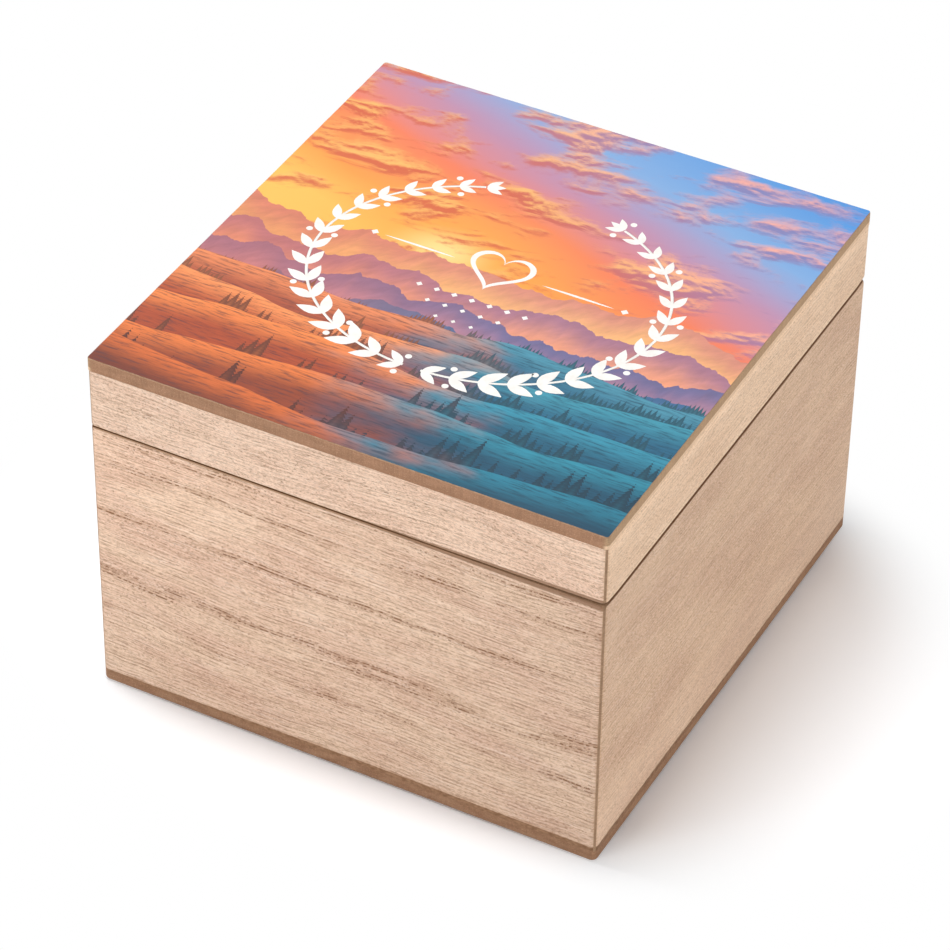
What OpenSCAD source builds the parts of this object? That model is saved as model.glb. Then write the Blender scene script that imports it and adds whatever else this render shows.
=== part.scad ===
// Hinged keepsake box: mitred veneered walls between flat panels, with a printed sheet on the lid.
// Millimetres. X runs along the front, Y from front to back, Z up.
// The origin is the middle of the underside.

/* [Box] */
// Width of the box along the front
box_w = 121; // [90:1:200]
// Depth of the box from front to back
box_d = 127.5; // [80:0.5:200]
// Height of the base, from the underside to the seam
base_h = 70.7; // [40:0.1:120]
// Height of the lid, from the seam to the face of the print
lid_h = 17.8; // [15:0.1:40]
// Radius of the upright corners
corner_r = 1.6; // [0.8:0.1:4]
// Radius sanded on the outer edges that meet at the seam
seam_r = 1; // [0.3:0.1:1.5]
// Radius sanded along the lower edge of the bottom panel
foot_r = 1; // [0.3:0.1:2]
// Radius sanded along the upper edge of the top panel
rim_r = 0.3; // [0.2:0.1:1]

/* [Sheets] */
// Thickness of the bottom panel
bottom_t = 3; // [2:0.1:6]
// Thickness of the top panel
top_t = 3; // [2:0.1:6]
// Thickness of the fibreboard core in the walls
core_t = 6.5; // [6:0.1:10]
// Thickness of the veneer on each face of the core
veneer_t = 0.25; // [0.15:0.05:0.6]
// Thickness of the printed sheet
print_t = 0.2; // [0.1:0.05:0.5]
// Margin of bare panel between its sanded edge and the printed sheet
print_margin = 0.1; // [0:0.1:5]

/* [Hinges] */
// Length of each hinge along the seam
hinge_len = 20; // [16:0.5:26]
// Distance of each hinge's middle from the side of the box
hinge_inset = 28.5; // [22:0.5:34]
// Thickness of a leaf
leaf_t = 2.4; // [1.8:0.1:3]
// Depth that a leaf is let into the wall from the back face
leaf_set = 5; // [4.4:0.1:6]
// Distance that a leaf lies below the seam face
leaf_recess = 0.1; // [0.05:0.05:0.3]
// Length of the lid leaf's knuckle
knuckle_len = 7; // [4:0.5:10]
// Radius of the knuckles
knuckle_r = 1.6; // [1.3:0.1:2]
// Radius of the hinge pin
pin_r = 0.8; // [0.5:0.05:0.9]
// Thickness of the leaf where it runs over the other leaf's knuckles
roof_t = 1.45; // [1.2:0.05:2]
// Distance that the stop heels reach behind the knuckles
heel_t = 0.8; // [0.4:0.1:1.2]
// Angle at which the heels stop the lid
open_angle = 95; // [90:1:100]

/* [Screws] */
// Radius of the screws' shanks
shank_r = 0.9; // [0.6:0.05:1]
// Radius of the screws' countersunk heads
head_r = 1.6; // [1.3:0.05:1.8]
// Height of the heads
head_h = 0.9; // [0.6:0.05:1.2]
// Length of the screws
screw_len = 9; // [6:0.5:11]
// Length of the screws' points
point_len = 1.6; // [1:0.1:2]
// Distance between the two screws of a leaf
screw_gap = 11; // [8:0.5:14]
// Width of the cross recess's arms
cross_w = 0.4; // [0.3:0.05:0.6]
// Reach of the cross recess's arms
cross_r = 1; // [0.6:0.05:1.1]
// Depth of the cross recess
cross_h = 0.6; // [0.3:0.05:0.8]

/* [Hidden] */
// Glue line between neighbouring walls, measured along a wall
glue_t = 0.02;
// Gap between the knuckles and the back of the box
back_gap = 0.1;
// End gap between neighbouring knuckles
knuckle_gap = 0.2;
// Radial gap between a knuckle and the hollow of the leaf that turns round it
sweep_gap = 0.15;
// Radial fit of the pin in the base leaf, which grips it, and in the lid leaf, which turns on it
pin_grip_fit = 0.01;
pin_turn_fit = 0.05;
// Bevel on the ends of the pin, and the distance that they lie inside the end knuckles
pin_bevel = 0.2;
pin_inset = 0.1;
// Gap around a leaf in its mortise
mortise_fit = 0.1;
// Gap around a screw in its hole
screw_fit = 0.05;
// Angle left between the heels when the lid is fully open
stop_play = 0.5;
// Overrun of every cut
cut = 1;

// Chords in an eighth of a round corner, and in the quarter round of a sanded edge
corner_steps = 4;
edge_steps = 5;
$fn = 64;

// Thickness of a whole wall, and the heights of the faces above the underside
wall_t = core_t + 2 * veneer_t;
lid_top = base_h + lid_h;
panel_top = lid_top - print_t;
rail_top = panel_top - top_t;

// Heights between which the base walls and the lid rails stand
BASE_SPAN = [bottom_t, base_h];
LID_SPAN = [base_h, rail_top];

// Depths below the outer face between which each layer of a wall lies
OUTER_LAYER = [0, veneer_t];
CORE_LAYER = [veneer_t, veneer_t + core_t];
INNER_LAYER = [veneer_t + core_t, wall_t];

// Angle of each side from the front
FRONT_ANGLE = 0;
RIGHT_ANGLE = 90;
BACK_ANGLE = 180;
LEFT_ANGLE = 270;

// Place of the hinges and their axis, and the reach of the heels behind it and above or below it
hinge_x = box_w / 2 - hinge_inset;
axis_out = knuckle_r + back_gap;
axis_y = box_d / 2 + axis_out;
axis_z = base_h;
heel_out = knuckle_r + heel_t;
heel_up = knuckle_r + sweep_gap + roof_t;

// Colours
wood = "#dfc0a2";
rail_wood = "#e3c5a8";
inner_wood = "#d9bd9c";
core_brown = "#9c7452";
panel_brown = "#a88a70";
bottom_brown = "#86644a";
print_blue = "#6f8fb5";
brass = "#c9a24c";
screw_brass = "#d2ab52";

// Length of the wall on a side, and the distance of its outer face from the middle of the box.
// A side is given by its angle.
function side_length(side) = side % 180 == 0 ? box_w : box_d;
function side_reach(side) = (side % 180 == 0 ? box_d : box_w) / 2;

// Angle on the corner's arc at which it lies a depth below the outer face, no lower than the mitre
function arc_angle(depth) = depth < corner_r ? max(45, asin((corner_r - depth) / corner_r)) : 45;

// Points of one end of a wall layer, as [along, depth], from its outer face to its inner face.
// The arc stops at the mitre, where a layer that lies deeper follows the mitre's line.
function layer_end(half, layer) =
    let (
        arc_depth = corner_r * (1 - sin(45)),
        from = arc_angle(layer[0]),
        to = arc_angle(layer[1]),
        arc = [for (i = [0 : corner_steps])
            let (a = from + (to - from) * i / corner_steps)
            [half - corner_r + corner_r * cos(a), corner_r - corner_r * sin(a)]]
    )
    concat(
        layer[0] < arc_depth ? arc : [[half - layer[0], layer[0]]],
        layer[1] > arc_depth ? [[half - layer[1], layer[1]]] : []
    );

// Outline of a wall layer seen from above, with both of its ends
function layer_outline(length, layer) =
    let (end = layer_end(length / 2, layer))
    concat(end, [for (i = [len(end) - 1 : -1 : 0]) [-end[i][0], end[i][1]]]);

// Outline of a panel with round corners, drawn in from the outside of the box by a margin
function panel_outline(margin) =
    let (
        r = max(corner_r - margin, corner_r / 4),
        x = box_w / 2 - margin - r,
        y = box_d / 2 - margin - r,
        steps = 2 * corner_steps
    )
    [for (corner = [0 : 3], i = [0 : steps])
        let (a = 90 * (corner + i / steps))
        [(corner == 0 || corner == 3 ? x : -x) + r * cos(a), (corner < 2 ? y : -y) + r * sin(a)]];

// Section of what sanding takes off an upper outer edge at [0, 0], as [depth, height]
function sanding_section(r) =
    concat(
        [for (i = [0 : edge_steps]) let (a = 180 - 90 * i / edge_steps) [r + r * cos(a), r * sin(a) - r]],
        [[r, cut], [-cut, cut], [-cut, -r]]
    );

// Section turned over, for a lower edge
function turned_over(section) = [for (p = section) [p[0], -p[1]]];

// A section given as [depth, height], run along X
module run_along(length, section) {
    rotate([90, 0, 90])
        linear_extrude(height = length, center = true)
            polygon(section);
}

// Places what is drawn for the front wall, with its outer face at Y = 0, on a side of the box
module on_side(side) {
    rotate(side)
        translate([0, -side_reach(side), 0])
            children();
}

// What sanding takes off the outer edge of one side at a height, and off all four
module side_sanding(side, height, section) {
    on_side(side)
        translate([0, 0, height])
            run_along(side_length(side) + 2 * cut, section);
}

module edge_sanding(height, section) {
    for (side = [FRONT_ANGLE, RIGHT_ANGLE, BACK_ANGLE, LEFT_ANGLE])
        side_sanding(side, height, section);
}

// One layer of the wall on a side between two heights, uncut
module layer_blank(side, layer, span) {
    on_side(side)
        translate([0, 0, span[0]])
            linear_extrude(height = span[1] - span[0])
                polygon(layer_outline(side_length(side) - glue_t, layer));
}

// One layer of a base wall
module base_layer(side, layer) {
    difference() {
        layer_blank(side, layer, BASE_SPAN);
        if (layer[0] < seam_r) side_sanding(side, base_h, sanding_section(seam_r));
        if (side == BACK_ANGLE && layer[0] < leaf_set) hinge_cuts(-1);
    }
}

// One layer of a lid rail
module lid_layer(side, layer) {
    difference() {
        layer_blank(side, layer, LID_SPAN);
        if (layer[0] < seam_r) side_sanding(side, base_h, turned_over(sanding_section(seam_r)));
        if (side == BACK_ANGLE && layer[0] < leaf_set) hinge_cuts(1);
    }
}

// Sheets across the box
module bottom_panel() {
    color(bottom_brown)
        difference() {
            linear_extrude(height = bottom_t) polygon(panel_outline(0));
            edge_sanding(0, turned_over(sanding_section(foot_r)));
        }
}

module top_panel() {
    color(panel_brown)
        difference() {
            translate([0, 0, rail_top]) linear_extrude(height = top_t) polygon(panel_outline(0));
            edge_sanding(panel_top, sanding_section(rim_r));
        }
}

module top_print() {
    color(print_blue)
        translate([0, 0, panel_top])
            linear_extrude(height = print_t)
                polygon(panel_outline(rim_r + print_margin));
}

// Base walls
module base_front_core() { color(core_brown) base_layer(FRONT_ANGLE, CORE_LAYER); }
module base_right_core() { color(core_brown) base_layer(RIGHT_ANGLE, CORE_LAYER); }
module base_back_core() { color(core_brown) base_layer(BACK_ANGLE, CORE_LAYER); }
module base_left_core() { color(core_brown) base_layer(LEFT_ANGLE, CORE_LAYER); }

module base_front_outer_veneer() { color(wood) base_layer(FRONT_ANGLE, OUTER_LAYER); }
module base_right_outer_veneer() { color(wood) base_layer(RIGHT_ANGLE, OUTER_LAYER); }
module base_back_outer_veneer() { color(wood) base_layer(BACK_ANGLE, OUTER_LAYER); }
module base_left_outer_veneer() { color(wood) base_layer(LEFT_ANGLE, OUTER_LAYER); }

module base_front_inner_veneer() { color(inner_wood) base_layer(FRONT_ANGLE, INNER_LAYER); }
module base_right_inner_veneer() { color(inner_wood) base_layer(RIGHT_ANGLE, INNER_LAYER); }
module base_back_inner_veneer() { color(inner_wood) base_layer(BACK_ANGLE, INNER_LAYER); }
module base_left_inner_veneer() { color(inner_wood) base_layer(LEFT_ANGLE, INNER_LAYER); }

// Lid rails
module lid_front_core() { color(core_brown) lid_layer(FRONT_ANGLE, CORE_LAYER); }
module lid_right_core() { color(core_brown) lid_layer(RIGHT_ANGLE, CORE_LAYER); }
module lid_back_core() { color(core_brown) lid_layer(BACK_ANGLE, CORE_LAYER); }
module lid_left_core() { color(core_brown) lid_layer(LEFT_ANGLE, CORE_LAYER); }

module lid_front_outer_veneer() { color(rail_wood) lid_layer(FRONT_ANGLE, OUTER_LAYER); }
module lid_right_outer_veneer() { color(rail_wood) lid_layer(RIGHT_ANGLE, OUTER_LAYER); }
module lid_back_outer_veneer() { color(rail_wood) lid_layer(BACK_ANGLE, OUTER_LAYER); }
module lid_left_outer_veneer() { color(rail_wood) lid_layer(LEFT_ANGLE, OUTER_LAYER); }

module lid_front_inner_veneer() { color(inner_wood) lid_layer(FRONT_ANGLE, INNER_LAYER); }
module lid_right_inner_veneer() { color(inner_wood) lid_layer(RIGHT_ANGLE, INNER_LAYER); }
module lid_back_inner_veneer() { color(inner_wood) lid_layer(BACK_ANGLE, INNER_LAYER); }
module lid_left_inner_veneer() { color(inner_wood) lid_layer(LEFT_ANGLE, INNER_LAYER); }

// The hinges are drawn about their axis: X along the pin, Y behind the box, Z up from the seam.
// up is 1 for the lid's half and -1 for the base's half.

// Places what is drawn about the hinge axis at the left (-1) or the right (1) hinge
module at_hinge(hand) {
    translate([hand * hinge_x, axis_y, axis_z]) children();
}

// A round bar on the hinge axis
module axis_bar(r, length) {
    rotate([0, 90, 0]) cylinder(r = r, h = length, center = true);
}

// Turns what is drawn for the lid's half over for the base's half
module half(up) {
    mirror([0, 0, up > 0 ? 0 : 1]) children();
}

// Section of the lid's half, as [behind, up]: the leaf let into the wall, then the roof over the
// knuckles, whose heel is cut off along the plane that meets the other heel when the lid is open
function leaf_section() =
    let (heel_angle = (open_angle + stop_play) / 2)
    [
        [-axis_out - leaf_set, leaf_recess],
        [0, leaf_recess],
        [0, 0],
        [heel_out, heel_out * tan(heel_angle)],
        [heel_out, heel_up],
        [-knuckle_r, heel_up],
        [-knuckle_r, leaf_recess + leaf_t],
        [-axis_out - leaf_set, leaf_recess + leaf_t]
    ];

// Profile of a screw turned about its axis, as [radius, height], head up with its face at 0.
// A hole has a fit, and its countersink runs on above the face by an overrun.
function screw_profile(fit, over) = [
    [0, over],
    [head_r + fit + over * (head_r - shank_r) / head_h, over],
    [shank_r + fit, -head_h],
    [shank_r + fit, point_len - screw_len],
    [0, -screw_len - fit]
];

// Places two screws in a leaf's half, their points going up into the lid's rail
module at_screws(hand, up) {
    at_hinge(hand)
        half(up)
            for (side = [-1, 1])
                translate([side * screw_gap / 2, -axis_out - leaf_set / 2, leaf_recess])
                    rotate([180, 0, 0]) children();
}

module screw_hole() {
    rotate_extrude() polygon(screw_profile(screw_fit, cut));
}

// Mortises for both leaves of the base (-1) or the lid (1), and the holes of their screws
module hinge_cuts(up) {
    for (hand = [-1, 1]) {
        at_hinge(hand)
            half(up)
                translate([-hinge_len / 2 - mortise_fit, -axis_out - leaf_set - mortise_fit, -cut])
                    cube([
                        hinge_len + 2 * mortise_fit,
                        leaf_set + mortise_fit + axis_out + cut,
                        cut + leaf_recess + leaf_t + mortise_fit
                    ]);
        at_screws(hand, up) screw_hole();
    }
}

// Room in the lid leaf for the base leaf's two knuckles
module lid_leaf_hollows() {
    bar = hinge_len / 2;
    for (side = [-1, 1])
        translate([side * (knuckle_len + bar) / 2, 0, 0]) axis_bar(knuckle_r + sweep_gap, bar);
}

// Base leaf: both outer knuckles grip the pin, and the floor under them ends in the lower heel
module base_leaf(hand) {
    end_len = (hinge_len - knuckle_len) / 2 - knuckle_gap;
    color(brass)
        difference() {
            union() {
                difference() {
                    at_hinge(hand) half(-1) run_along(hinge_len, leaf_section());
                    at_hinge(hand) axis_bar(knuckle_r + sweep_gap, knuckle_len + 2 * knuckle_gap);
                }
                for (side = [-1, 1])
                    at_hinge(hand)
                        translate([side * (hinge_len - end_len) / 2, 0, 0])
                            axis_bar(knuckle_r, end_len);
            }
            at_hinge(hand) axis_bar(pin_r + pin_grip_fit, hinge_len + 2 * cut);
            at_screws(hand, -1) screw_hole();
        }
}

// Lid leaf: the middle knuckle turns on the pin, and the roof over it ends in the upper heel
module lid_leaf(hand) {
    color(brass)
        difference() {
            union() {
                difference() {
                    at_hinge(hand) run_along(hinge_len, leaf_section());
                    at_hinge(hand) lid_leaf_hollows();
                }
                at_hinge(hand) axis_bar(knuckle_r, knuckle_len);
            }
            at_hinge(hand) axis_bar(pin_r + pin_turn_fit, hinge_len + 2 * cut);
            at_screws(hand, 1) screw_hole();
        }
}

// Pin with bevelled ends
module hinge_pin(hand) {
    half_len = hinge_len / 2 - pin_inset;
    color(screw_brass)
        at_hinge(hand)
            rotate([0, 90, 0])
                rotate_extrude()
                    polygon([
                        [0, -half_len],
                        [pin_r - pin_bevel, -half_len],
                        [pin_r, pin_bevel - half_len],
                        [pin_r, half_len - pin_bevel],
                        [pin_r - pin_bevel, half_len],
                        [0, half_len]
                    ]);
}

// Countersunk screw with a cross recess
module screw() {
    difference() {
        rotate_extrude() polygon(screw_profile(0, 0));
        for (turn = [0, 90])
            rotate(turn)
                translate([-cross_r, -cross_w / 2, -cross_h])
                    cube([2 * cross_r, cross_w, cross_h + cut]);
    }
}

module hinge_screws(up) {
    color(screw_brass)
        for (hand = [-1, 1])
            at_screws(hand, up) screw();
}

module hinge_left_base_leaf() { base_leaf(-1); }
module hinge_left_lid_leaf() { lid_leaf(-1); }
module hinge_left_pin() { hinge_pin(-1); }
module hinge_right_base_leaf() { base_leaf(1); }
module hinge_right_lid_leaf() { lid_leaf(1); }
module hinge_right_pin() { hinge_pin(1); }
module base_hinge_screws() { hinge_screws(-1); }
module lid_hinge_screws() { hinge_screws(1); }

bottom_panel();
base_front_core();
base_right_core();
base_back_core();
base_left_core();
base_front_outer_veneer();
base_right_outer_veneer();
base_back_outer_veneer();
base_left_outer_veneer();
base_front_inner_veneer();
base_right_inner_veneer();
base_back_inner_veneer();
base_left_inner_veneer();
lid_front_core();
lid_right_core();
lid_back_core();
lid_left_core();
lid_front_outer_veneer();
lid_right_outer_veneer();
lid_back_outer_veneer();
lid_left_outer_veneer();
lid_front_inner_veneer();
lid_right_inner_veneer();
lid_back_inner_veneer();
lid_left_inner_veneer();
top_panel();
top_print();
hinge_left_base_leaf();
hinge_left_lid_leaf();
hinge_left_pin();
hinge_right_base_leaf();
hinge_right_lid_leaf();
hinge_right_pin();
base_hinge_screws();
lid_hinge_screws();
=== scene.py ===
from contextlib import contextmanager
from math import acos, asin, cos, degrees, pi, radians, sin

import bmesh
import bpy
from mathutils import Matrix, Vector, noise


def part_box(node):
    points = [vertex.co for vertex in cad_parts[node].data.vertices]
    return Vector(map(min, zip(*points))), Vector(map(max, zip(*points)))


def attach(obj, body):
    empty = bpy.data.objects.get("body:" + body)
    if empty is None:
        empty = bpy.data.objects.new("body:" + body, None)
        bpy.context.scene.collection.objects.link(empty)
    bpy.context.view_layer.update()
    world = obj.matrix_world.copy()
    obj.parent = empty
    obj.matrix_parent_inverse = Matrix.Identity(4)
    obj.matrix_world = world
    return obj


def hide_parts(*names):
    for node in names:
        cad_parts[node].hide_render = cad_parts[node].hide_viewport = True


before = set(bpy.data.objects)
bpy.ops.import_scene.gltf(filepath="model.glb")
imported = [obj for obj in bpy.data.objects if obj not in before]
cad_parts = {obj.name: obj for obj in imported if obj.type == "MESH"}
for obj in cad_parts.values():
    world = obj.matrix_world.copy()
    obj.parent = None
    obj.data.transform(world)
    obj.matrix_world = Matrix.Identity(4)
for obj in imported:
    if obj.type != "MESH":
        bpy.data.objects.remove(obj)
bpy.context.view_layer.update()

MM = 0.001

# Camera that the photograph was taken with, solved from the edges of the box, in degrees and millimetres
PHOTO_PIXELS = 950
SENSOR_MM = 36
FOCAL_PIXELS = 4215.65
CAMERA_AZIMUTH = 27.498
CAMERA_ELEVATION = 38.813
CAMERA_ROLL = 0.9369
CAMERA_DISTANCE = 921.26
CAMERA_OFFSET_RIGHT = 2.314
CAMERA_OFFSET_UP = 6.367
CLIP_METRES = (0.01, 20)

# Distance in millimetres at which vertices count as one, and the shortest edge that a piece keeps
MERGE_DISTANCE = 0.0005
SHORTEST_EDGE = 0.0002

# Sizes in millimetres that the frame gives
PANEL_LOW, PANEL_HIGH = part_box("bottom_panel")
WIDTH = (PANEL_HIGH.x - PANEL_LOW.x) / MM
DEPTH = (PANEL_HIGH.y - PANEL_LOW.y) / MM
BOTTOM_TOP = PANEL_HIGH.z / MM
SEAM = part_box("base_front_core")[1].z / MM
RAIL_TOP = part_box("lid_front_core")[1].z / MM
LID_PANEL_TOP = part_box("top_panel")[1].z / MM
PRINT_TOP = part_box("top_print")[1].z / MM
CORE_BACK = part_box("base_front_inner_veneer")[0].y / MM + DEPTH / 2
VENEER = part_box("base_front_inner_veneer")[1].y / MM + DEPTH / 2 - CORE_BACK

# Softboxes: the way to them from the box, their distance, width and height in metres, and their watts
SOFTBOXES = {
    "overhead": ((-0.2, -0.02, 1.0), 0.9, 0.16, 0.42, 4.9),
    "front": ((-0.42, -1.0, 0.16), 1.1, 0.6, 0.6, 5.9),
    "right": ((1.0, -0.1, 0.14), 1.2, 0.6, 0.6, 4.8),
}

# Strength of the world on everything but the camera's and the reflections' view of it
WORLD_LIGHT = 0.35

# Half the floor's width in metres, then the oval in which the box's shadow fades to white: its half widths in
# millimetres where that starts and ends, and how many times as wide as deep it is
FLOOR_REACH = 4.0
FADE_START = 88.0
FADE_END = 122.0
FADE_FLATNESS = 1.31

# Walls in millimetres: round vertical edges, a mitre's glue line, and how much and how far in a rim slopes
CORNER_RADIUS = 1.45
GLUE_LINE = 0.02
RIM_SLOPE = 0.16
RIM_SLOPE_DEPTH = 3.0

# Steps of a round edge over the veneer, from there to the mitre, and of a rim
VENEER_STEPS = 5
MITRE_STEPS = 3
RIM_STEPS = 5

# Radius in millimetres to which a rim was sanded, and how sharply it grows towards the front right corner;
# then how much it grows at the front and at the back corners, how far from them, and how much it wobbles
BASE_SANDING = (0.42, 2)
LID_SANDING = (0.36, 8)
FRONT_GROWTH = 0.5
BACK_GROWTH = 0.8
FRONT_REACH = 6.0
BACK_REACH = 5.0
SANDING_WOBBLE = 0.08

# Waves per millimetre of the sanding, along a wall and in short, and of the dents in the panels' edges
SLOW_WAVES = 0.11
QUICK_WAVES = 0.5
DENT_WAVES = 0.35

# Mortises in millimetres: the play round a leaf, how far in a leaf counts as let in, and the overrun of a cut
MORTISE_GAP = 0.1
MORTISE_START = 0.5
MORTISE_OVERRUN_BACK = 3.0
MORTISE_OVERRUN_SEAM = 1.0

# Panels and printed sheet in millimetres. The sides' veneer was pressed over SIDE_LAP of the lid's panel
FOOT_RADIUS = 1.0
RIM_RADIUS = 0.12
PANEL_CORNER = 1.0
SHEET_CORNER = 0.75
SHEET_MARGIN = 0.15
SHEET_RADIUS = 0.05
SHARPEST_CORNER = 0.3
PANEL_DENT = 0.06
SHALLOW_DENT = 0.05
SIDE_LAP = 0.9
INK = 0.02

# Emblem in millimetres: the heart, the rules and diamonds beside it, and the rows of small diamonds under it
HEART_WIDTH, HEART_LIFT = 15.0, 5.0
HEART_HOLLOW_WIDTH, HEART_HOLLOW_LIFT = 12.4, 5.05
RULE_START, RULE_END, RULE_LIFT, RULE_THICKNESS = 10.5, 27.5, 4.5, 0.6
SIDE_DIAMOND_PLACE, SIDE_DIAMOND = 30.0, 0.9
DIAMOND_ROWS = ((7, 0.75), (5, 0.65), (3, 0.55))
DIAMOND_GAP, DIAMOND_ROWS_LIFT = 4.2, -7.5

# Brass in millimetres: bevels, then a screw's head, shank, thread, point and neck
LEAF_BEVEL, PIN_BEVEL = 0.12, 0.05
HEAD_HEIGHT = 0.9
SHANK = 0.9
THREAD_ROOT = SHANK * 0.72
THREAD_PITCH = 0.9
POINT_LENGTH = 1.6
POINT_RADIUS = 0.05
NECK = 1.4
THREAD_RAMP = 0.1
THREAD_SHARPNESS = 3.2
THREAD_ROWS = 6
SCREW_SIDES = 32

# A screw's cross recess as (height, core, reach of its arms), and the edge of its head as (inset, height)
RECESS = ((-0.62, 0.15, 0.5), (-0.1, 0.2, 0.85), (-0.03, 0.24, 0.9))
HEAD_EDGE = ((0.08, -0.02), (0.0, -0.12))

# Growth rings of the veneer, in millimetres apart
RING_GAP = 10.5

# Worn wood: thin veneer at the seam; the groove at the seam, with painted shade and dirt on the sides and
# painted lighter on the front and back; the core under the foot; and the pale tips of fibres, also used for
# painted light near the side walls' foot
THIN_VENEER = "#926c50"
SEAM_SHADE_AND_DIRT = "#663809"
GROOVE_PAINTED_LIGHTER = "#bb9473"
SANDED_THROUGH = "#9b7658"
SANDED_THROUGH_DARK = "#7d583c"
PALE_FIBRE_AND_PAINTED_LIGHT = "#fff1e4"

# Seed, ground, blush, streak, pore, strength of the grain and of its rings, for each side
WOODS = {
    "base": {
        "front": (1.0, "#e7c7ac", "#dcb79e", "#ae8464", "#774a22", 1.1, 1.0),
        "right": (11.0, "#e1bd9d", "#d7b193", "#b48c6a", "#7c5230", 0.68, 0.1),
        "back": (21.0, "#dfc0a8", "#d5b199", "#ae8464", "#774a22", 0.9, 0.8),
        "left": (31.0, "#dcb999", "#d2ad8f", "#b08866", "#7c5230", 0.65, 0.2),
    },
    "lid": {
        "front": (41.0, "#f5d4ba", "#ecc8ae", "#bd9470", "#7c5230", 1.0, 0.45),
        "right": (51.0, "#f8d5b3", "#efcaa8", "#c79d78", "#8c6444", 0.72, 0.1),
        "back": (61.0, "#e8c9b0", "#dfbda4", "#bd9470", "#7c5230", 0.8, 0.4),
        "left": (71.0, "#ebc9aa", "#e2bea0", "#bf9672", "#8c6444", 0.55, 0.2),
    },
}
LINING = ("#dcc0a0", "#d3b393", "#b8906b", "#855c3a", 0.6, 0.3)
LINING_SEED_STEP = 5
SIDES = {"front": 0, "right": 90, "back": 180, "left": 270}

# Ground, dark and pale colours of fibreboard
BOTTOM_EDGE = ("#9b775b", "#89644a", "#b18b70")
BOTTOM_FACE = ("#b08d6c", "#9d7b5d", "#c5a584")
TOP_EDGE = ("#aa8063", "#9c7458", "#c39c7f")
TOP_FACE = ("#bd9a78", "#ab8868", "#cfb08e")
CORE = ("#a28266", "#8d6e53", "#bd9a7b")

# Brass: ground, tarnish, strength of the scratches and roughness
LEAF_BRASS = ("#dac293", "#957b54", 1.0, 0.34)
PIN_BRASS = ("#e2ce9f", "#a48a62", 0.5, 0.26)
SCREW_BRASS = ("#dec896", "#947a52", 0.8, 0.3)

# Picture: height of the horizon and place of the glow in millimetres, and the sky's colours from glow to blue
HORIZON = -4.0
GLOW = (-14.0, 5.0)
SKY = [
    (0.0, "#ffc45e"),
    (0.16, "#fd9f49"),
    (0.36, "#f4805a"),
    (0.54, "#c08fae"),
    (0.72, "#84aee0"),
    (1.0, "#4c97e0"),
]

# Base and swing of each ridge in millimetres, length of its hills, then the colours of its crest and its mist
RIDGES = [
    (3.0, 13.0, 26.0, "#d98f7c", "#ffc07c"),
    (-5.0, 12.0, 21.0, "#a8768c", "#f3a27e"),
    (-12.0, 12.0, 18.0, "#6f6a94", "#c98d9a"),
    (-19.0, 10.0, 24.0, "#3f6a94", "#8b93b5"),
]

# Hills that come nearer: base, swing and length in millimetres, crest and hollow in the sun and in the shade,
# and the width of the crowns of the firs behind the crest
HILLS = [
    (-19.0, 6.0, 38.0, "#e88a5a", "#a95238", "#4b8fa6", "#2b6683", 1.7),
    (-27.0, 7.0, 44.0, "#f4945a", "#b4532f", "#3f93a9", "#1f5f7d", 2.3),
    (-36.0, 7.5, 50.0, "#f08a4c", "#a84a2b", "#378fa8", "#195873", 3.1),
    (-46.0, 8.0, 58.0, "#e57d42", "#8f4128", "#2f889f", "#124c66", 4.0),
    (-56.0, 8.0, 66.0, "#d26c38", "#743524", "#267a92", "#0c4058", 5.0),
]


def set_up(thing, **settings):
    """Gives a thing of Blender its settings by name."""
    for name, setting in settings.items():
        setattr(thing, name, setting)
    return thing


# Nodes


def linear(colour):
    """A colour written as #rrggbb, as the four linear values that a socket takes."""
    parts = [int(colour[i : i + 2], 16) / 255 for i in (1, 3, 5)]
    return [p / 12.92 if p <= 0.04045 else ((p + 0.055) / 1.055) ** 2.4 for p in parts] + [1]


class Value:
    """An output of a node, on which Python's arithmetic adds Math nodes."""

    def __init__(self, graph, output):
        self.graph = graph
        self.output = output

    def __add__(self, other):
        return self.graph.math("ADD", self, other)

    def __radd__(self, other):
        return self.graph.math("ADD", other, self)

    def __sub__(self, other):
        return self.graph.math("SUBTRACT", self, other)

    def __rsub__(self, other):
        return self.graph.math("SUBTRACT", other, self)

    def __mul__(self, other):
        return self.graph.math("MULTIPLY", self, other)

    def __truediv__(self, other):
        return self.graph.math("DIVIDE", self, other)

    def __abs__(self):
        return self.graph.math("ABSOLUTE", self)

    def step(self, low, high):
        """Rises smoothly from 0 at low to 1 at high, or falls where high is the lower one."""
        falls = int(high < low)
        ends = {"From Min": min(low, high), "From Max": max(low, high), "To Min": falls, "To Max": 1 - falls}
        sockets = {"Value": self, **ends}
        return self.graph.node("ShaderNodeMapRange", sockets, interpolation_type="SMOOTHSTEP")


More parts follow.
